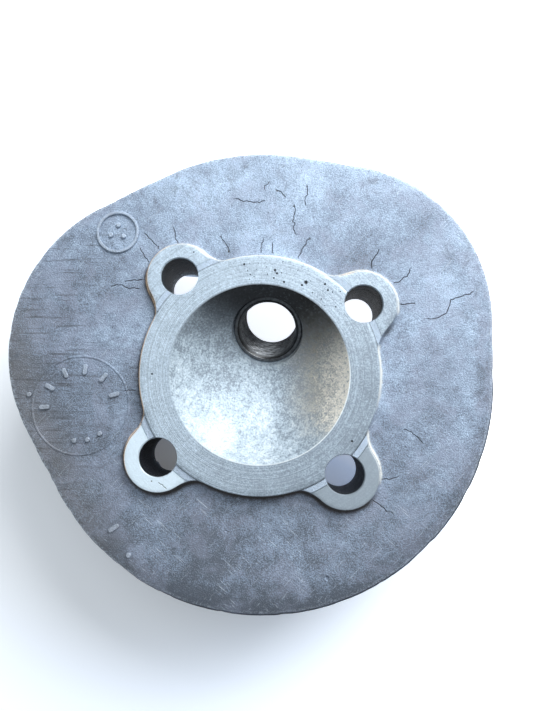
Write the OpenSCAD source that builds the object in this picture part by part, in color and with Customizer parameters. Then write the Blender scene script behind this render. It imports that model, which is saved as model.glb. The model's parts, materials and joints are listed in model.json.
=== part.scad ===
// Cylinder head of a small air-cooled two-stroke engine, one finned casting with a plug thread insert.
// Origin: centre of the combustion chamber on the sealing face. +Z points out of the chamber.
// The head lies on its fin tips. +X runs along the fins.

/* [Cooling plate] */
// Radius of the round part of the plate
plate_r = 51.5; // [48:0.5:56]
// Thickness of the plate
plate_t = 4; // [3:0.5:6]
// Height of the sealing face above the plate
boss_h = 3; // [2:0.5:5]
// Direction of the wide corner, in degrees from +X
wide_corner_angle = 168; // [150:1:185]
// Reach of the wide corner beyond the round part
wide_corner_reach = 6.7; // [3:0.1:8]
// Radius of the wide corner
wide_corner_r = 36.8; // [30:0.2:42]
// Direction of the plug side corner, in degrees from +X
plug_corner_angle = 44; // [30:1:60]
// Reach of the plug side corner beyond the round part
plug_corner_reach = 5.2; // [3:0.1:8]
// Radius of the plug side corner
plug_corner_r = 35.2; // [30:0.2:42]

/* [Chamber and sealing ring] */
// Radius of the chamber mouth
chamber_r = 19.5; // [18:0.1:20.5]
// Depth of the chamber dome
chamber_depth = 9.5; // [7:0.1:11]
// Outer radius of the sealing ring
ring_r = 26.25; // [25:0.05:28]
// Metal left behind the dome
crown_wall = 6; // [4:0.5:8]

/* [Studs] */
// Radius of each stud hole
stud_hole_r = 4.15; // [3.6:0.05:4.5]
// Radius of the ear round each stud hole
ear_r = 7.5; // [6.5:0.1:8]
// Drop from the sealing ring to the ears
ear_drop = 0.7; // [0.2:0.1:1.5]
// Radius of the blend between ear and ring
ear_blend_r = 4; // [2:0.5:6]
// Depth of the nut seats below the sealing face
nut_seat_depth = 15; // [12:0.5:18]
// Radius of the socket wells over the nuts
nut_well_r = 9; // [8:0.1:9.5]

/* [Plug thread] */
// Tilt of the plug from the cylinder axis
plug_tilt = 25; // [20:1:28]
// Direction in which the plug leans, in degrees from +X
plug_heading = 86; // [80:1:95]
// Radius inside the M14 thread
thread_r = 6.35; // [6.2:0.05:6.6]
// Outer radius of the insert
insert_r = 8; // [7.6:0.1:8.4]
// Length of the thread, from chamber face to gasket seat
thread_l = 12.7; // [11:0.1:14]
// Depth of the insert's face below the dome
insert_recess = 0.6; // [0.3:0.1:1]
// Radius of the plug boss
plug_boss_r = 12; // [11.5:0.1:13]
// Radius of the plug socket well
plug_well_r = 13.5; // [13:0.1:14.5]

/* [Fins] */
// Distance between fins
fin_pitch = 9.2; // [8:0.1:10]
// Thickness of a fin
fin_t = 2.8; // [2:0.1:3.4]
// Place of the middle fin from the chamber centre, along Y
fin_shift = 2.2; // [0:0.1:3]
// Depth of the fin tips below the sealing face
fin_depth = 36; // [30:0.5:42]
// How far fin ends sit inside the plate's edge
fin_inset = 1.2; // [0.5:0.1:3]
// Radius that rounds the fins' outer corners
fin_round_r = 12; // [6:0.5:16]

/* [Hidden] */
$fn = 96;

// Stud places: the front pair is level, and the right rear stud stands further out than a square would
STUDS = [[-20.1, -19.9], [20, -19.9], [21.5, 17.1], [-19.6, 20.1]];
FIN_PAIRS = 5;
dome_r = (chamber_r * chamber_r + chamber_depth * chamber_depth) / (2 * chamber_depth);
dome_z = dome_r - chamber_depth;
plate_top = -boss_h;
plate_bottom = -boss_h - plate_t;
insert_start = dome_r + insert_recess;
seat_start = insert_start + thread_l;
beyond = 60;
// The blend circle bites this far into ring and ear, so the edges cross and don't just touch
blend_bite = 0.03;

// The plug axis leaves the dome's centre, so the plug stands square to the dome
module on_plug_axis(start) {
    translate([0, 0, dome_z])
        rotate([0, 0, plug_heading])
            rotate([0, 180 - plug_tilt, 0])
                translate([0, 0, start])
                    children();
}

// A round corner that leaves the plate's circle along two tangents
module corner(angle, reach, corner_r, circle_r) {
    away = circle_r + reach - corner_r;
    half = acos((circle_r - corner_r) / away);
    centre = away * [cos(angle), sin(angle)];
    function at(turn) = [cos(angle + turn), sin(angle + turn)];
    translate(centre)
        circle(r = corner_r);
    polygon([
        circle_r * at(-half),
        centre + corner_r * at(-half),
        centre + corner_r * at(half),
        circle_r * at(half)
    ]);
}

module plate_outline(inset = 0) {
    circle(r = plate_r - inset);
    corner(wide_corner_angle, wide_corner_reach, wide_corner_r - inset, plate_r - inset);
    corner(plug_corner_angle, plug_corner_reach, plug_corner_r - inset, plate_r - inset);
}

// Web between the ring and one ear: a triangle of three centres, hollowed by the blend circle
module ear_web(stud, side) {
    far = norm(stud);
    ring_side = ring_r + ear_blend_r;
    ear_side = ear_r + ear_blend_r;
    turn = acos((far * far + ring_side * ring_side - ear_side * ear_side) / (2 * far * ring_side));
    heading = atan2(stud[1], stud[0]) + side * turn;
    blend_centre = ring_side * [cos(heading), sin(heading)];
    difference() {
        polygon([[0, 0], stud, blend_centre]);
        translate(blend_centre)
            circle(r = ear_blend_r + blend_bite);
    }
}

module ears_outline() {
    for (stud = STUDS) {
        translate(stud)
            circle(r = ear_r);
        for (side = [-1, 1])
            ear_web(stud, side);
    }
}

module cooling_plate() {
    translate([0, 0, plate_bottom])
        linear_extrude(plate_t)
            plate_outline();
}

module sealing_boss() {
    translate([0, 0, plate_bottom])
        cylinder(r = ring_r, h = -plate_bottom);
    translate([0, 0, plate_bottom])
        linear_extrude(-plate_bottom - ear_drop)
            ears_outline();
}

// The metal round the dome, below the plate
module crown() {
    intersection() {
        translate([0, 0, dome_z])
            sphere(r = dome_r + crown_wall);
        translate([-plate_r, -plate_r, -fin_depth])
            cube([2 * plate_r, 2 * plate_r, fin_depth + plate_top]);
    }
}

module stud_pillars() {
    for (stud = STUDS)
        translate([stud[0], stud[1], -nut_seat_depth])
            cylinder(r = ear_r + 1, h = nut_seat_depth + plate_top - 1);
}

module plug_boss() {
    on_plug_axis(dome_r + 1)
        cylinder(r = plug_boss_r, h = seat_start - dome_r - 1);
}

// Side view of the fins, with rounded outer corners
module fin_profile() {
    wide = plate_r + wide_corner_reach;
    round_z = fin_round_r - fin_depth;
    translate([-wide, round_z])
        square([2 * wide - wide_corner_reach, plate_top - 1 - round_z]);
    translate([fin_round_r - wide, -fin_depth])
        square([wide + plate_r - 2 * fin_round_r, fin_round_r]);
    for (x = [fin_round_r - wide, plate_r - fin_round_r])
        translate([x, round_z])
            circle(r = fin_round_r);
}

module fins() {
    intersection() {
        translate([0, 0, -fin_depth])
            linear_extrude(fin_depth + plate_top - 1)
                plate_outline(fin_inset);
        for (i = [-FIN_PAIRS:FIN_PAIRS])
            translate([0, fin_shift + i * fin_pitch + fin_t / 2, 0])
                rotate([90, 0, 0])
                    linear_extrude(fin_t)
                        fin_profile();
    }
}

// Everything that is cut or cored out of the casting
module cuts() {
    translate([0, 0, dome_z])
        sphere(r = dome_r);
    for (stud = STUDS) {
        translate([stud[0], stud[1], -fin_depth])
            cylinder(r = stud_hole_r, h = fin_depth + 1);
        translate([stud[0], stud[1], -nut_seat_depth - beyond])
            cylinder(r = nut_well_r, h = beyond);
    }
    on_plug_axis(dome_r - 4)
        cylinder(r = insert_r, h = thread_l + 8);
    on_plug_axis(seat_start)
        cylinder(r = plug_well_r, h = beyond);
}

module head_casting() {
    color([0.62, 0.65, 0.69])
        difference() {
            union() {
                cooling_plate();
                sealing_boss();
                crown();
                stud_pillars();
                plug_boss();
                fins();
            }
            cuts();
        }
}

module plug_thread_insert() {
    color([0.55, 0.5, 0.42])
        on_plug_axis(insert_start)
            difference() {
                cylinder(r = insert_r, h = thread_l);
                translate([0, 0, -1])
                    cylinder(r = thread_r, h = thread_l + 2);
            }
}

head_casting();
plug_thread_insert();
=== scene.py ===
import json
import math

import bmesh
import bpy
import numpy as np
from mathutils import Matrix, Vector, geometry, noise


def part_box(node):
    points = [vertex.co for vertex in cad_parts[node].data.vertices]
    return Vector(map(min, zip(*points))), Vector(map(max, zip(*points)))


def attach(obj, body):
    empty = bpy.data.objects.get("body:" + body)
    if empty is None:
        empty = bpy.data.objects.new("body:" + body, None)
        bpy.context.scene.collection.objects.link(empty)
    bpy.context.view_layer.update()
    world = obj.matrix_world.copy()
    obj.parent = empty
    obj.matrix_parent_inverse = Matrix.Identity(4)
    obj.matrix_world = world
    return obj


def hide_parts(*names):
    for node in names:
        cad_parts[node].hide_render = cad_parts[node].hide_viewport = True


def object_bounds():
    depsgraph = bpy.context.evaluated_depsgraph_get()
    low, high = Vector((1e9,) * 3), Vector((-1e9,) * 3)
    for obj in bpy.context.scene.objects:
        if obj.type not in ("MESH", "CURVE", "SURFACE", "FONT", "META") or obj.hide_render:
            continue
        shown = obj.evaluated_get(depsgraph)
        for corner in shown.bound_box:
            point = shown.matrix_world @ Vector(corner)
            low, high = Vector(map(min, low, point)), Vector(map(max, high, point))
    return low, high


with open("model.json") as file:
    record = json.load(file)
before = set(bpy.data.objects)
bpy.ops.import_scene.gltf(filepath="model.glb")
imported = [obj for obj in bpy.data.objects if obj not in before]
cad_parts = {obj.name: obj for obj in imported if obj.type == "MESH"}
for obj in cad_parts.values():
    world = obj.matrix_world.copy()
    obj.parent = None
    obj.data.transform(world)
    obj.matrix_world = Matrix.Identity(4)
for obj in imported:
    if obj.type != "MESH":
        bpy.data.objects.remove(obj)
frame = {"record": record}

mm = 0.001
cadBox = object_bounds()
scene = bpy.context.scene

# places and radii that the frame holds, in millimetres
mounts = {row["name"]: row for row in frame["record"]["mounts"]}


def mountPoint(name):
    return np.array(mounts[name]["pos_m"]) / mm


corners = ("front_left", "front_right", "rear_right", "rear_left")
studs = [mountPoint("stud_hole_" + corner)[:2] for corner in corners]
studHoleRadius = mounts["stud_hole_front_left"]["dims"]["r_mm"]
nutSeatZ = mountPoint("nut_seat_front_left")[2]
plugAxis = np.array(mounts["plug_thread"]["axis"])
threadLength = mounts["plug_thread"]["dims"]["length_mm"]
threadCrest = mounts["plug_thread"]["dims"]["r_mm"]
threadMiddle = mountPoint("plug_thread")
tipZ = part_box("head_casting")[0][2] / mm

head = {
    "plateRadius": 51.5,
    "plateCorners": [(168, 21.4, 36.8), (44, 21.5, 35.2)],  # heading, distance and radius
    "plateTop": -3.0,
    "plateBottom": -7.0,
    "edgeRound": 1.0,
    "ringRadius": 26.25,
    "bandRadius": 27.6,
    "chamberRadius": 19.5,
    "chamberDepth": 9.5,
    "earRadius": 7.5,
    "earBlend": 4.0,
    "earTop": -0.7,
    "footRound": 1.2,
    "crownWall": 6.0,
}
domeRadius = (head["chamberRadius"] ** 2 + head["chamberDepth"] ** 2) / (2 * head["chamberDepth"])
domeCentre = np.array([0.0, 0.0, domeRadius - head["chamberDepth"]])
insertStart = np.linalg.norm(threadMiddle - domeCentre) - threadLength / 2
seatStart = insertStart + threadLength


# mesh tools
def makePiece(name, points, faces):
    mesh = bpy.data.meshes.new(name)
    mesh.from_pydata([tuple(point) for point in points], [], [tuple(face) for face in faces])
    piece = bpy.data.objects.new(name, mesh)
    scene.collection.objects.link(piece)
    return piece


def applied(piece):
    bpy.context.view_layer.update()
    depsgraph = bpy.context.evaluated_depsgraph_get()
    mesh = bpy.data.meshes.new_from_object(piece.evaluated_get(depsgraph))
    piece.modifiers.clear()
    piece.data = mesh
    return piece


def combine(piece, other, operation):
    step = piece.modifiers.new("combine", "BOOLEAN")
    step.operation = operation
    step.object = other
    step.solver = "MANIFOLD"
    applied(piece)
    bpy.data.objects.remove(other)
    return piece


def withNormalsOut(piece):
    work = bmesh.new()
    work.from_mesh(piece.data)
    bmesh.ops.recalc_face_normals(work, faces=work.faces)
    work.to_mesh(piece.data)
    work.free()
    return piece


def wallFaces(low, high, count):
    # the faces between two loops of points, given the first point of each
    return [(low + i, low + (i + 1) % count, high + (i + 1) % count, high + i) for i in range(count)]


def loft(name, loops):
    count = len(loops[0])
    faces = []
    for level in range(len(loops) - 1):
        faces += wallFaces(level * count, (level + 1) * count, count)
    faces.append(range(count - 1, -1, -1))
    faces.append(range(count * (len(loops) - 1), count * len(loops)))
    return withNormalsOut(makePiece(name, np.concatenate(loops), faces))


def closedLoft(name, loops):
    # the last loop joins the first one
    count, levels = len(loops[0]), len(loops)
    faces = []
    for level in range(levels):
        faces += wallFaces(level * count, (level + 1) % levels * count, count)
    return withNormalsOut(makePiece(name, np.concatenate(loops), faces))


def levelLoop(flat, height):
    return np.column_stack([flat, np.full(len(flat), height)])


def circleLoop(radius, count):
    turns = np.linspace(0, 2 * math.pi, count, endpoint=False)
    return radius * np.column_stack([np.cos(turns), np.sin(turns)])


def lathe(name, profile, count, origin=(0, 0, 0), direction=(0, 0, 1)):
    piece = loft(name, [levelLoop(circleLoop(radius, count), height) for radius, height in profile])
    turn = Vector(direction).to_track_quat("Z", "X").to_matrix().to_4x4()
    piece.data.transform(Matrix.Translation(Vector(origin)) @ turn)
    return piece


def arcProfile(radius, middle, start, stop, count):
    # profile points of an arc, its middle on the axis at this height
    turns = np.radians(np.linspace(start, stop, count))
    return [(radius * math.cos(turn), middle + radius * math.sin(turn)) for turn in turns]


# shader tools: sums on sockets are written as plain expressions
class Wire:
    def __init__(self, board, socket):
        self.board, self.socket = board, socket

    def maths(self, operation, *others, clamp=False):
        settings = {"operation": operation, "use_clamp": clamp}
        return self.board.add("ShaderNodeMath", settings, [self, *others])

    def swapped(self, operation, other):
        return self.board.add("ShaderNodeMath", {"operation": operation}, [other, self])

    def __add__(self, other):
        return self.maths("ADD", other)

    def __sub__(self, other):
        return self.maths("SUBTRACT", other)

    def __mul__(self, other):
        return self.maths("MULTIPLY", other)

    def __rsub__(self, other):
        return self.swapped("SUBTRACT", other)

    __radd__, __rmul__ = __add__, __mul__


class Board:
    def __init__(self, name, finish):
        self.material = bpy.data.materials.new(name)
        self.material.use_nodes = True
        self.tree = self.material.node_tree
        self.shader = self.tree.nodes["Principled BSDF"]
        for socket, value in finish.items():
            self.plug(self.shader.inputs[socket], value)
        place = self.add("ShaderNodeTexCoord", {}, {}, "Object")
        self.point = self.add("ShaderNodeMapping", {}, {"Vector": place, "Scale": (1000, 1000, 1000)})
        axes = [self.add("ShaderNodeSeparateXYZ", {}, [self.point], axis) for axis in "XYZ"]
        self.x, self.y, self.z = axes

    def plug(self, socket, value):
        if isinstance(value, Wire):
            self.tree.links.new(value.socket, socket)
        else:
            socket.default_value = value

    def add(self, kind, settings, values, output=0):
        node = self.tree.nodes.new(kind)
        for name, value in settings.items():
            if name == "stops":
                ramp = node.color_ramp.elements
                while len(ramp) < len(value):
                    ramp.new(0.5)
                for stop, (place, colour) in zip(ramp, value):
                    stop.position, stop.color = place, (*colour, 1)
            else:
                setattr(node, name, value)
        for name, value in (values.items() if isinstance(values, dict) else enumerate(values)):
            self.plug(node.inputs[name], value)
        return Wire(self, node.outputs[output])

    def noise(self, scale, detail=4, rough=0.55, point=None, bend=0.0):
        values = {"Vector": point or self.point, "Scale": scale, "Detail": detail, "Roughness": rough,
                  "Distortion": bend}
        return self.add("ShaderNodeTexNoise", {}, values)

    def sway(self, scale, detail, amount):
        # noise around zero
        return (self.noise(scale, detail, 0.6) - 0.5) * amount

    def drawnNoise(self, value):
        # noise along one measure only, around zero
        values = {"W": value, "Detail": 4, "Roughness": 0.7}
        return self.add("ShaderNodeTexNoise", {"noise_dimensions": "1D"}, values) - 0.5

    def stretched(self, turn, along, across):
        # noise drawn out along a heading
        point = self.add("ShaderNodeVectorRotate", {"rotation_type": "Z_AXIS"},
                         {"Vector": self.point, "Angle": math.radians(-turn)})
        point = self.add("ShaderNodeVectorMath", {"operation": "MULTIPLY"},
                         {0: point, 1: (along, across, across)})
        return self.noise(1.0, 3, 0.6, point)

    def fade(self, value, low, high):
        return self.add("ShaderNodeMapRange", {"interpolation_type": "SMOOTHSTEP"},
                        {"Value": value, "From Min": low, "From Max": high})

    def ramp(self, value, stops):
        return self.add("ShaderNodeValToRGB", {"stops": stops}, [value])

    def mix(self, share, low, high):
        low, high = [colour if isinstance(colour, Wire) else (*colour, 1) for colour in (low, high)]
        return self.add("ShaderNodeMix", {"data_type": "RGBA"}, {0: share, 6: low, 7: high}, 2)

    def reading(self, name):
        return self.add("ShaderNodeAttribute", {"attribute_name": name}, {}, "Fac")

    def near(self, place, low, high):
        # 1 inside the low distance from a place on the plate, 0 past the high one
        values = {0: self.point, 1: place}
        away = self.add("ShaderNodeVectorMath", {"operation": "DISTANCE"}, values, "Value")
        return 1 - self.fade(away, low, high)

    def finish(self, colour, roughness, height, depth):
        self.plug(self.shader.inputs["Base Color"], colour)
        self.plug(self.shader.inputs["Roughness"], roughness)
        bump = self.add("ShaderNodeBump", {}, {"Height": height, "Distance": depth * mm})
        self.plug(self.shader.inputs["Normal"], bump)
        return self.material


castLook = {
    "metal": 0.3,
    "relief": 0.16,  # depth of the fine unevenness, in millimetres
    "stops": [(0.1, (0.1, 0.115, 0.14)), (0.45, (0.26, 0.32, 0.41)), (0.95, (0.6, 0.74, 0.9))],
    "slope": (0.0003, 0.0043),  # paler towards +x and +y, per millimetre
    # darker places on the plate: where, reach and depth
    "shades": [((27, 32), 5, 22, 0.17), ((-22, -36), 6, 22, 0.05)],
    "soot": (0.034, 0.025, 0.018),
    "lavender": (0.34, 0.37, 0.47),
    "band": (0.52, 0.61, 0.7),
    "tarnish": (0.2, 0.185, 0.17),
    "cream": (0.86, 0.85, 0.78),
    "bronze": (0.98, 0.7, 0.46),
    "bare": (0.72, 0.79, 0.86),
    "scratchTurns": (-36, 52, 4),
}


def bossSides(board):
    # how much the boss's wall faces the window, and the side of it that faces left
    wallX, wallY = board.reading("wallX"), board.reading("wallY")
    return wallX * 0.42 + wallY * 0.91, board.fade(wallX * -1 + wallY * 0.3, 0.5, 0.85)


def castSkin():
    board = Board("castSkin", {"Metallic": castLook["metal"]})
    slope = castLook["slope"]
    broad = board.sway(0.06, 3, 0.75)
    blots, specks, grain = board.sway(0.28, 4, 0.4), board.sway(1.1, 4, 0.42), board.sway(3.3, 3, 1.15)
    # painted light and shade: paler towards the window at +x and +y, darker at the far left
    farLeft = board.fade(board.x * -1, 26, 46)
    tone = 0.42 + board.x * slope[0] + board.y * slope[1] - farLeft * 0.16
    tone = tone + broad + blots + specks + grain
    rim = board.reading("rimDistance")
    # painted shade where the rim rolls down on the lower right
    rolled = (1 - board.fade(rim, 0.6, 6)) * board.fade(board.x * 0.6 - board.y * 0.8, 6, 30)
    shade = rolled * 0.2
    for place, low, high, depth in castLook["shades"]:
        shade = shade + board.near((*place, head["plateTop"]), low, high) * depth
    colour = board.ramp(tone - shade, castLook["stops"])
    tinted = board.fade(board.noise(0.1, 5, 0.65, bend=0.6), 0.46, 0.62)
    colour = board.mix(tinted * 0.3, colour, castLook["lavender"])

    lowSide = board.fade(board.y * -1, 12, 34)
    # painted shade with a brown tint, darker towards the lower-left rim where the edge rolls down
    tarnish = board.fade(board.x * -0.8 - board.y * 0.4, 30, 50) * (1 - board.fade(rim, 3, 14))
    colour = board.mix(tarnish * 0.45, colour, castLook["tarnish"])
    brushed = board.stretched(castLook["scratchTurns"][2], 0.1, 1.6) - 0.5
    colour = board.mix(board.fade(brushed, 0.03, 0.2) * farLeft * 0.5, colour, castLook["soot"])
    fine = board.stretched(castLook["scratchTurns"][0], 0.16, 3.4)
    crossed = board.stretched(castLook["scratchTurns"][1], 0.14, 3.0)
    patch = board.fade(board.noise(0.12, 2), 0.48, 0.62)
    scratch = board.fade(fine, 0.58, 0.7) * (lowSide * 0.95 + 0.05) * patch
    scratch = scratch + board.fade(crossed, 0.61, 0.7) * (1 - patch) * 0.5
    colour = board.mix(scratch.maths("MULTIPLY", 0.48, clamp=True), colour, castLook["bare"])

    boss, crack = board.reading("bossDistance"), board.reading("crack")
    topSide = board.fade(board.z, -5.2, -4.4)
    outside = board.fade(boss, -0.35, -0.1) * topSide
    facing, leftward = bossSides(board)
    foot = outside * (1 - board.fade(board.z, -1.8, -1.3) + board.fade(board.z, -0.7, -0.4))
    # painted shadow with some dirt along the boss foot on the sides facing away from the window
    footShadowAndDirt = (1 - board.fade(boss + specks, 0.45, 1.5)) * (1 - board.fade(facing, -0.45, 0.1)) * outside
    colour = board.mix(footShadowAndDirt * 0.93, colour, castLook["soot"])
    # painted highlight along the boss foot on the sides facing the window
    lit = (1 - board.fade(boss + specks * 1.6, 0.35, 0.95)) * board.fade(facing, 0.15, 0.45) * foot
    colour = board.mix(lit * 0.85, colour, castLook["cream"])
    # painted highlight, orange-tinted, along the left side of the boss foot
    edge = (1 - board.fade(boss + blots, 0.4, 0.75)) * leftward * foot
    edge = edge * board.fade(specks + grain, -0.2, 0.0)
    colour = board.mix(edge * 0.9, colour, castLook["bronze"])
    colour = board.mix((topSide - outside) * 0.6, colour, castLook["band"])
    smudge = board.fade(board.noise(0.17, 5, 0.7, bend=1.0), 0.54, 0.68) * (1 - board.fade(rim, 4, 17))
    colour = board.mix(smudge * 0.5, colour, castLook["stops"][0][1])
    pepper = board.fade(board.noise(1.5, 2), 0.66, 0.72)
    colour = board.mix(pepper * 0.6, colour, castLook["stops"][0][1])
    raised = board.fade(board.z, head["plateTop"] + 0.22, head["plateTop"] + 0.42)
    raised = raised * board.fade(boss, 2, 2.4)
    colour = board.mix(raised * 0.22, colour, castLook["bare"])
    # rubbed-bare rim edge, with a painted highlight along it
    bare = (1 - board.fade(rim, 0.2, 1.3)) * board.fade(specks + grain, -0.03, 0.06)
    bare = bare * board.fade(board.z, head["plateTop"] - 1.3, head["plateTop"] - 0.7)
    colour = board.mix(bare * 0.5, colour, castLook["bare"])
    colour = board.mix(board.fade(crack, 0.15, 0.7) * 0.88, colour, castLook["soot"])

    roughness = 0.6 + grain * 0.5 + blots * 0.3 - scratch * 0.12
    height = grain * 0.9 + specks * 1.1 + blots - scratch * 0.25
    return board.finish(colour, roughness, height, castLook["relief"])


turnedLook = {
    "metal": 0.45,
    "relief": 0.07,
    "stops": [(0.15, (0.22, 0.26, 0.3)), (0.5, (0.42, 0.5, 0.57)), (0.9, (0.68, 0.79, 0.87))],
    "grooves": 2.1,  # per millimetre
    "lines": (21.1, 22.9, 24.2),  # radii of the deeper tool marks
    "lip": (0.86, 0.9, 0.9),
    "brightEar": (0.76, 0.87, 0.93),
    "dullEar": (0.3, 0.345, 0.38),
    "pit": (0.03, 0.03, 0.032),
}


def turnedFace():
    board = Board("turnedFace", {"Metallic": turnedLook["metal"]})
    flat = board.add("ShaderNodeCombineXYZ", {}, [board.x, board.y, 0.0])
    radius = board.add("ShaderNodeVectorMath", {"operation": "LENGTH"}, [flat], "Value")
    grooves, wide = board.drawnNoise(radius * turnedLook["grooves"]), board.drawnNoise(radius * 0.4)
    leftSide = board.fade(board.x * -1 - board.y * 0.4, -6, 16)
    blots, specks, grain = board.sway(0.2, 4, 0.4), board.sway(1.1, 4, 0.55), board.sway(2.8, 2, 0.8)
    ringEdge, mouthEdge = head["ringRadius"], head["chamberRadius"]
    ring = 1 - board.fade(radius, ringEdge - 0.15, ringEdge + 0.25)
    tone = 0.36 + board.y * 0.0022 - board.x * 0.0042 + grooves * (leftSide * 1.5 + 0.2) * ring
    tone = tone + wide * 0.6 + blots + specks + grain
    colour = board.ramp(tone, turnedLook["stops"])
    # painted reflection on the front-left ear's flat and painted shade on the front-right one; the shade
    # colour also darkens the tool marks
    for place, tint in ((studs[0], "brightEar"), (studs[1], "dullEar")):
        colour = board.mix(board.near((*place, 0), 7, 9.5) * (1 - ring) * 0.75, colour, turnedLook[tint])
    for line in turnedLook["lines"]:
        mark = 1 - (radius - line).maths("ABSOLUTE").maths("MULTIPLY", 7.0, clamp=True)
        colour = board.mix(mark * leftSide * 0.4, colour, turnedLook["dullEar"])
    # painted shade: a dark line in the step at the ring's outer edge
    edge = 1 - (radius - (ringEdge + 0.05)).maths("ABSOLUTE").maths("MULTIPLY", 5.0, clamp=True)
    colour = board.mix(edge * 0.75, colour, turnedLook["pit"])
    pits = board.reading("pit")
    mouth = 1 - board.fade(radius, mouthEdge + 0.05, mouthEdge + 0.5)
    mouth = mouth * board.fade(board.y + specks * 40, -2, 14)
    colour = board.mix(board.fade(board.reading("crack"), 0.15, 0.7) * 0.8, colour, castLook["soot"])
    dark = (pits + mouth * 0.7).maths("MULTIPLY", 0.95, clamp=True)
    colour = board.mix(dark, colour, turnedLook["pit"])
    # painted highlight along the bowl's lip on the lower right
    lip = 1 - board.fade(radius, mouthEdge + 0.1, mouthEdge + 0.3)
    lip = lip * board.fade(board.x * 0.6 - board.y, 2, 12)
    colour = board.mix(lip * 0.8, colour, turnedLook["lip"])
    facing, leftward = bossSides(board)
    # painted highlights on the boss's rounded top edge: cream where it faces the window, orange on its left
    # side
    corner = board.fade(board.reading("bossDistance") + grain * 0.1, -0.4, -0.2)
    corner = corner * board.fade(board.z, -2, -1.5)
    colour = board.mix(corner * board.fade(facing, 0.15, 0.45) * 0.6, colour, castLook["cream"])
    colour = board.mix(corner * leftward * 0.7, colour, castLook["bronze"])
    height = grooves * 0.5 + grain * 0.6 + specks * 0.6
    return board.finish(colour, 0.46 + grain * 0.3 + specks * 0.3, height, turnedLook["relief"])


bowlLook = {
    "metal": 0.25,
    "relief": 0.09,
    "stops": [(0.2, (0.22, 0.26, 0.3)), (0.5, (0.43, 0.51, 0.57)), (0.85, (0.66, 0.73, 0.77))],
    # painted reflections, paler and duller patches: where, reach and gain
    "patches": [
        ((-11.5, -11.5, -3.2), 2, 9, 0.1), ((-5, -15.5, -2.8), 2, 8, 0.1), ((-9, -4, -6.5), 1, 7, -0.08),
    ],
    "carbon": (0.006, 0.006, 0.007),
    "deposit": (0.4, 0.375, 0.315),
    # pale sandy colour near the right rim: crust, and painted highlight
    "scale": (0.95, 0.89, 0.78),
}


def bowlWall():
    board = Board("bowlWall", {"Metallic": bowlLook["metal"]})
    blots, specks, grain = board.sway(0.14, 4, 0.7), board.sway(0.7, 5, 1.0), board.sway(2.4, 2, 1.1)
    polish = board.stretched(80, 0.25, 1.6) - 0.5
    # painted light: paler towards the lower left, where the wall faces the window, with a pale streak of
    # painted reflection down from below the plug
    streak = (board.x + board.y * 0.06 - 1.2).maths("ABSOLUTE")
    streak = (1 - board.fade(streak, 0.5, 5)) * board.fade(board.y * -1, -3, 3)
    tone = 0.36 - board.x * 0.005 - board.y * 0.009 + blots + specks + grain + polish * 0.3
    tone = tone + streak * 0.17
    for place, low, high, gain in bowlLook["patches"]:
        tone = tone + board.near(place, low, high) * gain
    colour = board.ramp(tone, bowlLook["stops"])
    # darker and browner over the right side: deposit, and painted reflection of the darker surroundings
    deposit = board.fade(board.x + board.y * 0.12 + blots * 14, 3, 13)
    deposit = deposit * board.fade(board.y + specks * 12, -17, -5)
    tan = (deposit * (0.8 + specks * 1.2 + grain)).maths("MULTIPLY", 0.9, clamp=True)
    colour = board.mix(tan, colour, bowlLook["deposit"])
    # pale sandy near the right rim: crust, and painted highlight
    crustAndHighlight = board.fade(board.x + specks * 8 + grain * 9 + blots * 4, 12.5, 20)
    crustAndHighlight = crustAndHighlight * board.fade(board.y * -1, -13, -6) * board.fade(board.y, -14, -8)
    colour = board.mix(crustAndHighlight * 0.95, colour, bowlLook["scale"])
    pepper = board.fade(board.noise(1.7, 3), 0.56, 0.66) * board.fade(board.x, -14, 6)
    colour = board.mix(pepper * 0.6, colour, bowlLook["stops"][0][1])
    # dark over the top of the bowl: soot, and painted shade
    top = board.fade(board.y - (board.x - 2).maths("ABSOLUTE") * 0.3 + specks * 5, -3, 15)
    colour = board.mix(top * (0.98 - pepper * 0.15), colour, bowlLook["carbon"])
    roughness = 0.56 + specks * 0.6 + deposit * 0.12
    return board.finish(colour, roughness, specks * 1.2 + grain * 0.9, bowlLook["relief"])


boreLook = {
    "metal": 0.15,
    "shine": 0.3,
    "relief": 0.12,
    "stops": [(0.3, (0.008, 0.009, 0.012)), (0.6, (0.06, 0.075, 0.09)), (0.9, (0.42, 0.48, 0.53))],
    "rings": 1.6,  # per millimetre
}


def boreWall():
    board = Board("boreWall", {"Metallic": boreLook["metal"], "Specular IOR Level": boreLook["shine"]})
    specks, grain = board.sway(0.9, 5, 1.0), board.sway(2.6, 3, 0.6)
    values = {"W": board.z * boreLook["rings"], "Detail": 3}
    rings = board.add("ShaderNodeTexNoise", {"noise_dimensions": "1D"}, values) - 0.5
    # painted light and shade: lighter towards the bottom of each bore, darker in the rear-right bore and
    # lighter in the rear-left one
    tone = 0.2 + board.fade(board.z * -1, 10, 15) * 0.35 + specks + grain + rings * 0.9
    tone = tone - board.near((*studs[2], -6), 8, 12) * 0.2 + board.near((*studs[3], -6), 8, 12) * 0.16
    colour = board.ramp(tone, boreLook["stops"])
    return board.finish(colour, 0.56 + specks * 0.3, rings + specks, boreLook["relief"])


sleeveLook = {
    "metal": 0.85,
    "relief": 0.03,
    "stops": [(0.3, (0.045, 0.043, 0.042)), (0.7, (0.25, 0.262, 0.275))],
    "threadRoot": (0.012, 0.011, 0.01),
}


def sleeveSteel():
    board = Board("sleeveSteel", {"Metallic": sleeveLook["metal"]})
    specks, grain = board.sway(0.9, 5, 0.55), board.sway(2.6, 3, 0.3)
    colour = board.ramp(0.5 + specks + grain, sleeveLook["stops"])
    # painted shade in the thread roots
    colour = board.mix(board.reading("threadDepth") * 0.9, colour, sleeveLook["threadRoot"])
    return board.finish(colour, 0.36 + specks * 0.4, grain * 0.8 + specks * 0.8, sleeveLook["relief"])


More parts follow.
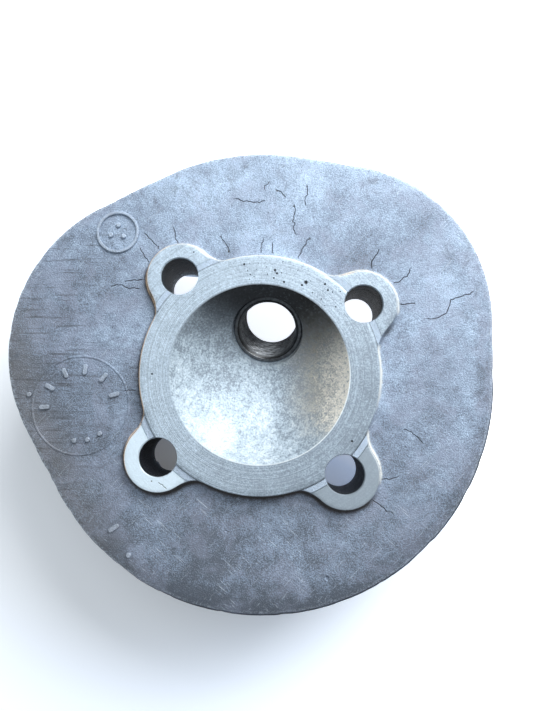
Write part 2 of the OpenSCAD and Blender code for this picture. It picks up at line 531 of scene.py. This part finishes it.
print("finishes")
castMaterial, turnedMaterial, bowlMaterial, boreMaterial = castSkin(), turnedFace(), bowlWall(), boreWall()


# outlines seen from above
def resampled(points, count):
    closed = np.vstack([points, points[:1]])
    along = np.concatenate([[0], np.cumsum(np.linalg.norm(np.diff(closed, axis=0), axis=1))])
    wanted = np.linspace(0, along[-1], count, endpoint=False)
    return np.column_stack([np.interp(wanted, along, closed[:, axis]) for axis in (0, 1)])


def plateReach(directions, inset=0.0):
    # how far the plate reaches in each direction, and the round part that reaches furthest
    centres, radii = [np.zeros(2)], [head["plateRadius"] - inset]
    for heading, distance, radius in head["plateCorners"]:
        turn = math.radians(heading)
        centres.append(distance * np.array([math.cos(turn), math.sin(turn)]))
        radii.append(radius - inset)
    reach = np.array([directions @ centre + radius for centre, radius in zip(centres, radii)])
    return reach.max(0), np.array(centres)[reach.argmax(0)], np.array(radii)[reach.argmax(0)]


def plateLoop(inset, count=440):
    directions = circleLoop(1, 2880)
    _, centres, radii = plateReach(directions, inset)
    return resampled(centres + radii[:, None] * directions, count)


def rimDistance(points):
    directions = circleLoop(1, 360)
    reach, _, _ = plateReach(directions)
    return (reach[None, :] - points @ directions.T).min(1)


def roundUnion(first, second, blend):
    near = np.maximum(blend - first, 0) ** 2 + np.maximum(blend - second, 0) ** 2
    plain = np.minimum(first, second)
    return np.where((first < blend) & (second < blend), np.minimum(blend - np.sqrt(near), plain), plain)


def bossDistance(points):
    distance = np.linalg.norm(points, axis=1) - head["ringRadius"]
    for stud in studs:
        ear = np.linalg.norm(points - stud, axis=1) - head["earRadius"]
        distance = roundUnion(distance, ear, head["earBlend"])
    return distance


def bossLoop(offset, count=760):
    rays = circleLoop(1, 1440)
    low, high = np.full(len(rays), 22.0), np.full(len(rays), 42.0)
    for _ in range(26):
        middle = (low + high) / 2
        inside = bossDistance(rays * middle[:, None]) < offset
        low, high = np.where(inside, middle, low), np.where(inside, high, middle)
    return resampled(rays * low[:, None], count)


# the chamber side as a height field on a mesh whose edges follow every feature
skin = {
    "bossRound": 0.35,
    "bossWall": 0.06,
    "plateGrid": 1.1,
    "bossGrid": 0.9,
    "waviness": 0.09,
    "wavinessSize": 14.0,
    "ripple": 0.025,
    "roll": {"heading": -52, "drop": 0.85, "width": 7.0},
    "rimWander": 0.28,
    # height and inset of each level down the rim
    "rimSteps": [(-4.35, 0), (-4.5, 0.06), (-5.1, 0.06), (-6.3, 0.1), (-6.8, 0.3), (-7.0, 0.7)],
    "insertLine": {"centre": (-39.2, -10.3), "radius": 10.9, "width": 0.2, "height": 0.13},
}


# casting flaws: hairline cracks (start, heading, length) and pits (place, radius)
flaws = {
    "cracks": [
        (-21.3, 28.3, 105, 4.2), (-25.7, 26.8, 134, 5.0), (-27.5, 23.4, 150, 4.2), (-28.6, 19.2, 186, 4.2),
        (-29.2, 17.0, 181, 7.0), (-2.1, 27.7, 86, 3.4), (0.5, 27.7, 95, 2.4), (-9.5, 27.6, 122, 3.6),
        (-2.4, 39.8, 178, 7.6), (-2.6, 42.6, 55, 2.6), (0.6, 42.4, -46, 2.3), (6.4, 27.2, 71, 5.0),
        (5.4, 32.4, 90, 7.4), (7.0, 39.6, 92, 4.8), (23.1, 25.8, 76, 5.2), (28.2, 22.9, 36, 5.8),
        (29.8, 18.2, 2, 3.2), (36.2, 15.4, 22, 4.4), (40.2, 17.1, 78, 2.8), (40.7, 19.8, 32, 6.0),
        (-27.6, -6.0, 200, 2.6), (28.3, -20.4, 6, 3.6), (26.6, -25.0, -32, 5.4), (32.3, -9.4, -14, 5.0),
        (-19.3, -25.2, -52, 2.2),
    ],
    "crackWidth": 0.13,
    "crackDepth": 0.16,
    "crackWander": 24,  # degrees
    "pits": [
        (-5.4, 23.7, 0.3), (1.5, 22.9, 0.35), (2.0, 22.2, 0.3), (1.4, 21.1, 0.25),
        (3.7, 20.4, 0.3), (7.7, 20.0, 0.3), (8.5, 20.7, 0.5), (12.7, 20.6, 0.3),
        (13.4, 19.3, 0.25), (20.9, -12.8, 0.3), (-23.2, -2.2, 0.3), (18.0, -41.9, 0.6),
        (-4.2, -34.3, 0.35), (-13.3, -36.2, 0.35), (-20.9, -25.0, 0.2), (-17.0, 25.8, 0.2),
    ],
    "pitDepth": 0.9,  # times its radius
    "strayPits": 34,
    "seed": 11,
}


def crackLines():
    dice = np.random.default_rng(flaws["seed"])
    lines = []
    for x, y, heading, length in flaws["cracks"]:
        place, line, step = np.array([x, y]), [np.array([x, y])], 0.45
        for _ in range(int(length / step)):
            turn = math.radians(heading + dice.normal(0, flaws["crackWander"]))
            place = place + step * np.array([math.cos(turn), math.sin(turn)])
            line.append(place)
        lines.append(np.array(line))
    return lines


def pitList():
    # the big ones, and small ones strewn over the upper right of the ring
    dice = np.random.default_rng(flaws["seed"] + 1)
    turns = np.radians(dice.uniform(38, 105, flaws["strayPits"]))
    radii = dice.uniform(20.4, 25.4, flaws["strayPits"])
    small = np.column_stack([radii * np.cos(turns), radii * np.sin(turns),
                             dice.uniform(0.12, 0.2, flaws["strayPits"])])
    pits = list(map(tuple, flaws["pits"]))
    for x, y, size in small:
        if min(math.hypot(x - pit[0], y - pit[1]) for pit in pits) > 0.9:
            pits.append((x, y, size))
    return np.array(pits)


cracks, pits = crackLines(), pitList()


def crackShare(points):
    # 1 on the line of a crack, 0 at its lips
    share = np.zeros(len(points))
    for line in cracks:
        near = np.flatnonzero((np.abs(points - line.mean(0)).max(1)) < 6)
        if not len(near):
            continue
        starts, runs = line[:-1], np.diff(line, axis=0)
        offset = points[near][:, None, :] - starts[None]
        along = np.clip((offset * runs).sum(2) / (runs ** 2).sum(1), 0, 1)
        away = np.linalg.norm(offset - along[..., None] * runs, axis=2).min(1)
        share[near] = np.maximum(share[near], np.clip(1 - away / flaws["crackWidth"], 0, 1))
    return share


def pitShare(points):
    away = np.linalg.norm(points[:, None, :] - pits[None, :, :2], axis=2) / pits[:, 2]
    return np.clip(1 - away.min(1), 0, 1), pits[away.argmin(1), 2]


def topHeight(points):
    boss = bossDistance(points)
    radius = np.linalg.norm(points, axis=1)
    foot, edge = head["footRound"], skin["bossRound"]
    inFoot = np.clip((foot + skin["bossWall"] - boss) / foot, 0, 1)
    footZ = head["plateTop"] + foot * (1 - np.sqrt(1 - inFoot ** 2))
    steps = [0, head["ringRadius"] - 0.25, head["ringRadius"], head["ringRadius"] + 0.15,
             head["bandRadius"], head["bandRadius"] + 0.25, 60]
    levels = [0, 0, -0.12, -0.42, -0.44, head["earTop"], head["earTop"]]
    inRing = np.interp(radius, steps, levels)
    inEdge = np.clip(1 + boss / edge, 0, 1)
    bossZ = inRing - edge * (1 - np.sqrt(1 - inEdge ** 2))
    z = np.where(boss <= 0, bossZ, footZ)
    rim = rimDistance(points)
    inRim = np.clip(1 - rim / head["edgeRound"], 0, 1)
    z = np.where(boss > foot, z - head["edgeRound"] * (1 - np.sqrt(1 - inRim ** 2)), z)
    line = skin["insertLine"]
    away = np.abs(np.linalg.norm(points - np.array(line["centre"]), axis=1) - line["radius"])
    z = z + line["height"] * np.clip(1.5 - away / line["width"], 0, 1)
    roll = skin["roll"]
    heading = math.radians(roll["heading"])
    side = points @ np.array([math.cos(heading), math.sin(heading)]) / 50
    fall = np.clip(1 - rim / roll["width"], 0, 1) ** 2 * np.clip(side + 0.45, 0.15, 1.2)
    size = skin["wavinessSize"]
    wave = np.array([noise.noise(Vector((x / size, y / size, 0.3))) for x, y in points])
    ripple = np.array([noise.noise(Vector((x * 0.55, y * 0.55, 4.1))) for x, y in points])
    uneven = (skin["waviness"] * wave + skin["ripple"] * ripple) * np.clip(rim / 3, 0, 1)
    z = z + np.where(boss > 0, uneven, 0)
    z = z - np.where(boss > foot, roll["drop"] * fall, 0)
    sunk, size = pitShare(points)
    return z - flaws["crackDepth"] * crackShare(points) - flaws["pitDepth"] * size * sunk


def hexGrid(spacing):
    reach = int(64 / spacing)
    cells = [((i + 0.5 * (j % 2)) * spacing, j * spacing * math.sqrt(0.75))
             for j in range(-reach, reach + 1) for i in range(-reach, reach + 1)]
    return np.array(cells)


def chains(loop, keep):
    # the parts of a closed loop that are kept, as open chains of points
    kept = np.flatnonzero(keep)
    breaks = np.flatnonzero(np.diff(kept) > 1)
    return [loop[part] for part in np.split(kept, breaks + 1) if len(part) > 2]


def topSheet():
    points, edges = [], []

    def addChain(chain, closed):
        start = len(points)
        points.extend(chain)
        edges.extend((start + i, start + i + 1) for i in range(len(chain) - 1))
        if closed:
            edges.append((start + len(chain) - 1, start))

    for inset in head["edgeRound"] * np.array([0, 0.03, 0.12, 0.3, 0.6, 1]):
        addChain(plateLoop(inset), True)
    for offset in skin["bossRound"] * np.array([-1, -0.6, -0.28, -0.08, 0]):
        addChain(bossLoop(offset), True)
    for offset in skin["bossWall"] + head["footRound"] * np.array([0, 0.05, 0.18, 0.4, 0.7, 1]):
        addChain(bossLoop(offset), True)
    for step in (-0.25, 0, 0.15, 0.75, 1.35, 1.6):
        ring = circleLoop(head["ringRadius"] + step, 720)
        for chain in chains(ring, bossDistance(ring) < -0.6):
            addChain(chain, False)
    for crack in cracks:
        run = np.gradient(crack, axis=0)
        across = np.column_stack([-run[:, 1], run[:, 0]]) / np.linalg.norm(run, axis=1)[:, None]
        for side in (-1, 0, 1):
            addChain(crack + side * flaws["crackWidth"] * 1.05 * across, False)
    for x, y, size in pits:
        points.append((x, y))
        for scale in (0.5, 1.0):
            points.extend(np.array([x, y]) + circleLoop(size * scale, 8))
    line = skin["insertLine"]
    for side in (-1.5, -0.5, 0.5, 1.5):
        addChain(np.array(line["centre"]) + circleLoop(line["radius"] + side * line["width"], 150), True)
    plate = hexGrid(skin["plateGrid"])
    boss, rim = bossDistance(plate), rimDistance(plate)
    nearLine = np.abs(np.linalg.norm(plate - np.array(line["centre"]), axis=1) - line["radius"]) < 0.7
    points.extend(plate[(boss > 1.6) & (rim > 1.4) & ~nearLine])
    inner = hexGrid(skin["bossGrid"])
    boss, radius = bossDistance(inner), np.linalg.norm(inner, axis=1)
    points.extend(inner[(boss < -0.7) & (radius > 17) & ((radius < 25.6) | (radius > 28.3))])
    corners = [Vector(point) for point in points]
    verts, _, faces, _, _, _ = geometry.delaunay_2d_cdt(corners, edges, [], 1, 1e-5)
    flat = np.array([tuple(vert) for vert in verts])
    return ragged(flat), topHeight(flat), [tuple(face) for face in faces]


def ragged(flat):
    # the rim of a sand casting is never quite true: pull it in a little here and there
    rim = rimDistance(flat)
    outward = flat / np.maximum(np.linalg.norm(flat, axis=1), 1)[:, None]
    pull = np.array([max(noise.noise(Vector((x * 0.22, y * 0.22, 7.7)))
                         + 0.5 * noise.noise(Vector((x * 0.9, y * 0.9, 2.2))), 0) for x, y in flat])
    return flat - outward * (skin["rimWander"] * pull * np.clip(1 - rim / 2.5, 0, 1))[:, None]


def chamberSide():
    flat, heights, faces = topSheet()
    piece = makePiece("headCasting", np.column_stack([flat, heights]), faces)
    work = bmesh.new()
    work.from_mesh(piece.data)
    bmesh.ops.recalc_face_normals(work, faces=work.faces)
    if sum(face.normal.z for face in work.faces) < 0:
        bmesh.ops.reverse_faces(work, faces=work.faces)
    edge = [e for e in work.edges if e.is_boundary]
    for drop, inset in skin["rimSteps"]:
        grown = bmesh.ops.extrude_edge_only(work, edges=edge)["geom"]
        rimVerts = [item for item in grown if isinstance(item, bmesh.types.BMVert)]
        edge = [item for item in grown if isinstance(item, bmesh.types.BMEdge)]
        for vert in rimVerts:
            vert.co.z = drop
        if inset:
            for vert in rimVerts:
                outward = Vector((vert.co.x, vert.co.y, 0)).normalized()
                vert.co -= outward * inset * 0.5
    bmesh.ops.contextual_create(work, geom=edge)
    bmesh.ops.recalc_face_normals(work, faces=work.faces)
    work.to_mesh(piece.data)
    work.free()
    return piece


print("chamber side")
casting = chamberSide()

# the fins: one drafted blank, repeated by Geometry Nodes and cut to the plate's outline
fins = {
    "count": 11,
    "pitch": 9.2,
    "middle": 2.2,
    "tipHalf": 1.05,
    "rootHalf": 1.5,
    "tipRound": 0.8,
    "rootRound": 2.0,
    "inset": 1.2,
    "cornerRound": 12.0,
    "endRound": 0.6,
}


def finSection():
    tip, root, bottom = tipZ, fins["rootHalf"], head["plateBottom"]
    turn = np.radians(np.linspace(0, 90, 6))
    side = [(fins["tipHalf"] - fins["tipRound"] * (1 - math.sin(t)),
             tip + fins["tipRound"] * (1 - math.cos(t))) for t in turn]
    side.append((root, bottom - fins["rootRound"]))
    side += [(root + fins["rootRound"] * (1 - math.cos(t)), bottom - fins["rootRound"] * (1 - math.sin(t)))
             for t in turn[1:]]
    side.append((root + fins["rootRound"], bottom + 1.2))
    return np.array(side + [(-y, z) for y, z in reversed(side)])


def newTree(name, inputs):
    tree = bpy.data.node_groups.new(name, "GeometryNodeTree")
    face = tree.interface
    for label, kind in (("Geometry", "Geometry"), *inputs):
        face.new_socket(label, in_out="INPUT", socket_type="NodeSocket" + kind)
    face.new_socket("Geometry", in_out="OUTPUT", socket_type="NodeSocketGeometry")

    def make(kind, **settings):
        node = tree.nodes.new(kind)
        for label, value in settings.items():
            setattr(node, label, value)
        return node

    return tree, make, tree.links.new


def placeCopies(make, join, source, points, material, turn=None):
    # the incoming shape on every point, made real and given its finish
    copies, real = make("GeometryNodeInstanceOnPoints"), make("GeometryNodeRealizeInstances")
    paint, sink = make("GeometryNodeSetMaterial"), make("NodeGroupOutput")
    paint.inputs["Material"].default_value = material
    join(points, copies.inputs["Points"])
    join(source.outputs["Geometry"], copies.inputs["Instance"])
    if turn:
        join(turn, copies.inputs["Rotation"])
    join(copies.outputs["Instances"], real.inputs["Geometry"])
    join(real.outputs["Geometry"], paint.inputs["Geometry"])
    join(paint.outputs["Geometry"], sink.inputs["Geometry"])


def finTree(material):
    tree, make, join = newTree("finRow", (("Count", "Int"), ("Start", "Vector"), ("Step", "Vector")))
    source, line = make("NodeGroupInput"), make("GeometryNodeMeshLine")
    join(source.outputs["Count"], line.inputs["Count"])
    join(source.outputs["Start"], line.inputs["Start Location"])
    join(source.outputs["Step"], line.inputs["Offset"])
    placeCopies(make, join, source, line.outputs["Mesh"], material)
    return tree


def setInputs(step, values):
    for item in step.node_group.interface.items_tree:
        if item.in_out == "INPUT" and item.name in values:
            step[item.identifier] = values[item.name]


def finRow(material):
    section = finSection()
    stations = np.linspace(-60, 56, 30)
    blank = loft("finRow", [np.column_stack([np.full(len(section), x), section]) for x in stations])
    step = blank.modifiers.new("row", "NODES")
    step.node_group = finTree(material)
    first = fins["middle"] - fins["pitch"] * (fins["count"] - 1) / 2
    setInputs(step, {"Count": fins["count"], "Start": (0, first, 0), "Step": (0, fins["pitch"], 0)})
    applied(blank)
    flat = plateLoop(fins["inset"])
    low, high = flat[:, 0].min(), flat[:, 0].max()
    loops = []
    for t in np.radians(np.linspace(0, 90, 10)):
        pull = fins["cornerRound"] * (1 - math.sin(t))
        cut = flat.copy()
        cut[:, 0] = np.clip(cut[:, 0], low + pull, high - pull)
        loops.append(levelLoop(cut, tipZ - 0.01 + fins["cornerRound"] * (1 - math.cos(t))))
    loops[0][:, 2] = tipZ - 1
    loops.append(levelLoop(flat, head["plateBottom"] + 0.9))
    combine(blank, loft("envelope", loops), "INTERSECT")
    soft = blank.modifiers.new("soft", "BEVEL")
    soft.width = fins["endRound"]
    soft.segments = 2
    soft.limit_method = "ANGLE"
    soft.angle_limit = math.radians(50)
    return applied(blank)


def crown():
    outer, middle = domeRadius + head["crownWall"], domeCentre[2]
    profile = arcProfile(outer, middle, -89.5, -47.5, 30)
    return lathe("crown", profile + [(profile[-1][0] + 1.5, head["plateBottom"] + 0.4), (20, -4.5)], 128)


def pillar(stud):
    wide = head["earRadius"] + 1
    profile = [(wide, nutSeatZ), (wide, nutSeatZ + 3), (wide + 0.15, -9.2), (wide + 0.5, -8.0),
               (wide + 1.2, -7.3), (wide + 2, -6.8), (wide + 2, -5.2)]
    return lathe("pillar", profile, 64, (stud[0], stud[1], 0))


holes = {
    "nutWell": 9.0,
    "lip": 0.2,  # wider by this at the mouth of a stud hole
    "plugBoss": 12.0,
    "plugRelief": 8.15,  # in the bowl, round the sleeve's end
    "plugBore": 8.0,
    "plugWell": 13.5,
    "reliefDepth": 0.1,
}


print("fins, pillars and bosses")
combine(casting, finRow(castMaterial), "UNION")
combine(casting, crown(), "UNION")
for stud in studs:
    combine(casting, pillar(stud), "UNION")
wide = holes["plugBoss"]
plugBoss = [(wide - 0.1, domeRadius + 2), (wide, domeRadius + 3), (wide, seatStart - 0.5),
            (wide - 0.5, seatStart)]
combine(casting, lathe("plugBoss", plugBoss, 96, domeCentre, plugAxis), "UNION")

# raised foundry marks, plain shapes only, set out on arcs by Geometry Nodes
marks = {
    "height": 0.5,
    "bar": (2.4, 1.0),
    "dash": (1.0, 2.6),
    "dot": (1.1, 1.1),
    # blank, centre, radius, first heading, sweep and number
    "rows": [
        ("bar", (-39.2, -10.3), 8.0, 188, -166, 6),
        ("dot", (-39.2, -10.3), 7.8, 268, 44, 3),
        ("dot", (-35.4, 29.8), 1.7, 90, 240, 3),
        ("dash", (-27.6, -37.0), 1.4, 128, 0, 1),
        ("dot", (-25.4, -41.2), 0.8, 0, 0, 1),
        ("dot", (-51.4, -8.9), 0.5, 0, 0, 1),
    ],
    "badge": {"centre": (-35.4, 29.8), "radius": 4.6, "width": 0.85},
}


def markBlank(long, wide):
    # a round-ended pad: its size along the radius, then along the arc
    turns = np.radians(np.arange(0, 360, 22.5) + 11.25)
    ends = np.column_stack([np.cos(turns), np.sin(turns)])
    spare = np.maximum(np.array([long - wide, wide - long]) / 2, 0)
    loops = []
    for grow, z in ((0.08, -0.6), (0.04, 0.1), (0.0, 0.75), (-0.16, 1.0)):
        outline = ends * (min(long, wide) / 2 + grow) + np.sign(ends) * spare
        loops.append(levelLoop(outline, z * marks["height"]))
    return loft("markBlank", loops)


def arcTree(material):
    # copies of a blank along an arc, each turned to follow it
    tree, make, join = newTree("markRow", (("Radius", "Float"), ("Start", "Float"), ("Step", "Float"),
                                           ("Count", "Int"), ("Centre", "Vector")))
    source, row = make("NodeGroupInput"), make("GeometryNodeMeshLine")
    order = make("GeometryNodeInputIndex")
    times, angle = make("ShaderNodeMath", operation="MULTIPLY"), make("ShaderNodeMath", operation="ADD")
    turn, reach = make("ShaderNodeCombineXYZ"), make("ShaderNodeCombineXYZ")
    spin = make("ShaderNodeVectorRotate", rotation_type="Z_AXIS")
    place, move = make("ShaderNodeVectorMath", operation="ADD"), make("GeometryNodeSetPosition")
    join(source.outputs["Count"], row.inputs["Count"])
    join(order.outputs[0], times.inputs[0])
    join(source.outputs["Step"], times.inputs[1])
    join(times.outputs[0], angle.inputs[0])
    join(source.outputs["Start"], angle.inputs[1])
    join(angle.outputs[0], turn.inputs["Z"])
    join(source.outputs["Radius"], reach.inputs["X"])
    join(reach.outputs[0], spin.inputs["Vector"])
    join(angle.outputs[0], spin.inputs["Angle"])
    join(spin.outputs[0], place.inputs[0])
    join(source.outputs["Centre"], place.inputs[1])
    join(row.outputs["Mesh"], move.inputs["Geometry"])
    join(place.outputs[0], move.inputs["Position"])
    placeCopies(make, join, source, move.outputs["Geometry"], material, turn.outputs[0])
    return tree


def foundryMarks(material):
    tree = arcTree(material)
    for blank, centre, radius, start, sweep, count in marks["rows"]:
        piece = markBlank(*marks[blank])
        step = piece.modifiers.new("row", "NODES")
        step.node_group = tree
        turn = math.radians(sweep) / max(count - 1, 1)
        setInputs(step, {"Radius": float(radius), "Start": math.radians(start), "Step": turn,
                         "Count": count, "Centre": (*centre, head["plateTop"])})
        combine(casting, applied(piece), "UNION")
    badge, high = marks["badge"], marks["height"]
    inner, outer = badge["radius"] - badge["width"] / 2, badge["radius"] + badge["width"] / 2
    section = [(inner, -0.3), (outer, -0.3), (outer - 0.1, high * 0.7), (outer - 0.25, high),
               (inner + 0.25, high), (inner + 0.1, high * 0.7)]
    centre = np.array(badge["centre"])
    loops = [levelLoop(circleLoop(radius, 72) + centre, head["plateTop"] + z) for radius, z in section]
    combine(casting, closedLoft("badge", loops), "UNION")


print("foundry marks")
foundryMarks(castMaterial)

print("holes and bowl")
bowlMouth = math.degrees(math.asin(-domeCentre[2] / domeRadius)) - 0.4
bowl = arcProfile(domeRadius, domeCentre[2], -89.6, bowlMouth, 44)
wide = head["chamberRadius"] + 0.4
bowl += [(head["chamberRadius"] + 0.05, 0.02), (wide, 0.4), (wide, 5)]
combine(casting, lathe("bowlTool", bowl, 192), "DIFFERENCE")
well, lip = holes["nutWell"], studHoleRadius + holes["lip"]
hole = [(well, tipZ - 4), (well, nutSeatZ), (studHoleRadius, nutSeatZ), (studHoleRadius, -1.0),
        (lip, -0.75), (lip + 0.02, 3)]
for stud in studs:
    combine(casting, lathe("holeTool", hole, 96, (stud[0], stud[1], 0)), "DIFFERENCE")
relief, reliefEnd = holes["plugRelief"], insertStart + holes["reliefDepth"]
bore, well = holes["plugBore"], holes["plugWell"]
plugTool = [(relief, domeRadius - 6), (relief, reliefEnd), (bore, reliefEnd), (bore, seatStart),
            (well, seatStart), (well, seatStart + 60)]
combine(casting, lathe("plugTool", plugTool, 128, domeCentre, plugAxis), "DIFFERENCE")


def withoutSlivers(piece):
    # the cuts leave a few faces of no area behind
    work = bmesh.new()
    work.from_mesh(piece.data)
    bmesh.ops.dissolve_degenerate(work, dist=0.0003, edges=work.edges)
    work.to_mesh(piece.data)
    work.free()


withoutSlivers(casting)


def readBack(source, name):
    values = np.empty(len(source) * 3)
    source.foreach_get(name, values)
    return values.reshape(-1, 3)


def paintCasting():
    # each face takes the finish of the surface it belongs to
    mesh = casting.data
    turned, inBowl, inBore = 1, 2, 3  # places in the list of materials
    mesh.materials.clear()
    for material in (castMaterial, turnedMaterial, bowlMaterial, boreMaterial):
        mesh.materials.append(material)
    points = readBack(mesh.vertices, "co")
    middles, normals = readBack(mesh.polygons, "center"), readBack(mesh.polygons, "normal")
    flat = middles[:, :2]
    kind = np.zeros(len(middles), dtype=np.int32)
    radius = np.linalg.norm(flat, axis=1)
    band = (radius > head["ringRadius"] + 0.16) & (radius < head["bandRadius"])
    kind[(bossDistance(flat) < -0.15) & (middles[:, 2] > -1.0) & ~band] = turned
    for stud in studs:
        away = np.linalg.norm(flat - stud, axis=1)
        between = (middles[:, 2] < -0.9) & (middles[:, 2] > nutSeatZ)
        kind[(np.abs(away - studHoleRadius) < 0.12) & between] = inBore
        kind[(away < holes["nutWell"] - 0.1) & (np.abs(middles[:, 2] - nutSeatZ) < 0.05)] = turned
    fromDome = middles - domeCentre
    along = fromDome @ plugAxis
    off = np.linalg.norm(fromDome - along[:, None] * plugAxis, axis=1)
    kind[(off < holes["plugBoss"] - 0.1) & (np.abs(along - seatStart) < 0.05)] = turned
    nearSleeve = (along > domeRadius - 1.5) & (along < insertStart + 0.3)
    kind[(off < holes["plugRelief"] + 0.15) & nearSleeve] = inBowl
    fromCentre = np.linalg.norm(fromDome, axis=1)
    facing = -(fromDome * normals).sum(1) / fromCentre
    kind[(np.abs(fromCentre - domeRadius) < 0.15) & (facing > 0.9)] = inBowl
    mesh.polygons.foreach_set("material_index", kind)
    seen, chamberFacing = points[:, :2], points[:, 2] > head["plateTop"] - 2.5
    nudge = 0.2
    wallX, wallY = [(bossDistance(seen + step) - bossDistance(seen - step)) / (2 * nudge)
                    for step in nudge * np.eye(2)]
    readings = {"bossDistance": bossDistance(seen), "rimDistance": rimDistance(seen),
                "wallX": wallX, "wallY": wallY, "crack": crackShare(seen) * chamberFacing,
                "pit": (pitShare(seen)[0] > 0.3) * (points[:, 2] > head["plateTop"] - 1)}
    for name, values in readings.items():
        layer = mesh.attributes.new(name, "FLOAT", "POINT")
        layer.data.foreach_set("value", values.astype(float))
    mesh.shade_smooth()
    mesh.set_sharp_from_angle(angle=math.radians(32))


paintCasting()
casting.data.transform(Matrix.Scale(mm, 4))
print("casting", len(casting.data.polygons), "faces")
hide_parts("head_casting")
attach(casting, "root")

# the threaded sleeve that the plug screws into
sleeve = {
    "outer": 8.0,
    "pitch": 1.25,
    "root": 7.05,
    "chamfer": 0.3,
    "rings": 120,
    "sides": 96,
}


def threadedSleeve():
    turns = np.linspace(0, 2 * math.pi, sleeve["sides"], endpoint=False)
    heights = np.linspace(insertStart, seatStart, sleeve["rings"])
    loops = []
    for height in heights:
        phase = ((height - insertStart) / sleeve["pitch"] + turns / (2 * math.pi)) % 1
        depth = np.abs(2 * phase - 1)
        flank = np.clip((depth - 0.12) / 0.76, 0, 1)
        radius = threadCrest + (sleeve["root"] - threadCrest) * flank
        fromEnd = min(height - insertStart, seatStart - height)
        # the thread opens out at each end
        radius = np.maximum(radius, sleeve["root"] + 0.1 - fromEnd)
        loops.append(levelLoop(np.column_stack([radius * np.cos(turns), radius * np.sin(turns)]), height))
    cut = sleeve["chamfer"]
    for radius, height in ((sleeve["outer"] - cut, seatStart), (sleeve["outer"], seatStart - cut),
                           (sleeve["outer"], insertStart + cut), (sleeve["outer"] - cut, insertStart)):
        loops.append(levelLoop(circleLoop(radius, sleeve["sides"]), height))
    piece = closedLoft("plugThreadInsert", loops)
    fromAxis = np.linalg.norm(np.concatenate(loops)[:, :2], axis=1)
    depth = np.clip((fromAxis - threadCrest) / (sleeve["root"] - threadCrest), 0, 1)
    depth = depth * (fromAxis < sleeve["root"] + 0.02)
    piece.data.attributes.new("threadDepth", "FLOAT", "POINT").data.foreach_set("value", depth)
    turn = Vector(plugAxis).to_track_quat("Z", "X").to_matrix().to_4x4()
    piece.data.transform(Matrix.Scale(mm, 4) @ Matrix.Translation(Vector(domeCentre)) @ turn)
    piece.data.shade_smooth()
    piece.data.set_sharp_from_angle(angle=math.radians(28))
    piece.data.materials.append(sleeveSteel())
    return piece


print("thread insert")
insert = threadedSleeve()
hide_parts("plug_thread_insert")
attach(insert, "root")

# pale floor, soft light and the camera
studio = {
    "lamps": [
        # name, place, size, power and tint
        ("window", (0.32, 0.52, 0.45), 0.42, 8.0, (0.94, 0.97, 1.0)),
        ("overhead", (0.0, 0.26, 0.85), 0.6, 3.2, (0.9, 0.95, 1.0)),
    ],
    "sky": [(0.02, (0.8, 0.84, 0.88)), (0.4, (0.22, 0.25, 0.28))],  # from the horizon up
    "floorGlow": [(0.0, (0.1, 0.1, 0.1)), (0.4, (0.24, 0.3, 0.42)), (1.0, (0.95, 0.97, 1.0))],
    "glowReach": (-38, 26),
    "farGlow": ((-35, 0, 0), 62, 112, 0.4),  # centre, reach and strength of the glow away from the head
}


def lightStudio():
    for name, place, size, power, tint in studio["lamps"]:
        light = bpy.data.lights.new(name, "AREA")
        light.energy, light.size, light.color = power, size, tint
        body = bpy.data.objects.new(name, light)
        body.location = place
        body.rotation_euler = (-Vector(place)).to_track_quat("-Z", "Y").to_euler()
        scene.collection.objects.link(body)
    scene.world = bpy.data.worlds.new("studio")
    scene.world.use_nodes = True
    nodes, join = scene.world.node_tree.nodes, scene.world.node_tree.links.new
    place, split = nodes.new("ShaderNodeTexCoord"), nodes.new("ShaderNodeSeparateXYZ")
    ramp = nodes.new("ShaderNodeValToRGB")
    for stop, (height, colour) in zip(ramp.color_ramp.elements, studio["sky"]):
        stop.position, stop.color = height, (*colour, 1)
    join(place.outputs["Object"], split.inputs[0])
    join(split.outputs["Z"], ramp.inputs[0])
    join(ramp.outputs["Color"], nodes["Background"].inputs["Color"])
    scene.view_settings.view_transform = "Standard"


def paleFloor():
    low = cadBox[0][2] - 0.0001
    piece = makePiece("floor", [(-3, -3, low), (3, -3, low), (3, 3, low), (-3, 3, low)], [(0, 1, 2, 3)])
    board = Board("paper", {"Base Color": (0.86, 0.88, 0.9, 1), "Roughness": 0.9, "Emission Strength": 1.0})
    # painted light and shade: the floor glows, brighter on the side that the window lights and dim under
    # the head
    glow = board.fade(board.x * 0.45 + board.y, *studio["glowReach"])
    place, low, high, most = studio["farGlow"]
    far = 1 - board.near((*place[:2], cadBox[0][2] / mm), low, high)
    glow = glow.maths("MAXIMUM", far * most)
    board.plug(board.shader.inputs["Emission Color"], board.ramp(glow, studio["floorGlow"]))
    piece.data.materials.append(board.material)


print("floor, lamps and camera")
lightStudio()
paleFloor()

view = {"place": (6.3, -8.6, 114.8), "aim": (1.3, 3.9, 0.0), "roll": 5.0, "lens": 27.04}
camera = bpy.data.objects.new("camera", bpy.data.cameras.new("camera"))
forward = (Vector(view["aim"]) - Vector(view["place"])).normalized()
right = forward.cross(Vector((0, 1, 0))).normalized()
frameTurn = Matrix((right, right.cross(forward), -forward)).transposed().to_4x4()
camera.matrix_world = (Matrix.Translation(Vector(view["place"]) * mm) @ frameTurn
                       @ Matrix.Rotation(math.radians(view["roll"]), 4, "Z"))
camera.data.lens = view["lens"]
camera.data.clip_start = 0.005
scene.collection.objects.link(camera)
scene.camera = camera
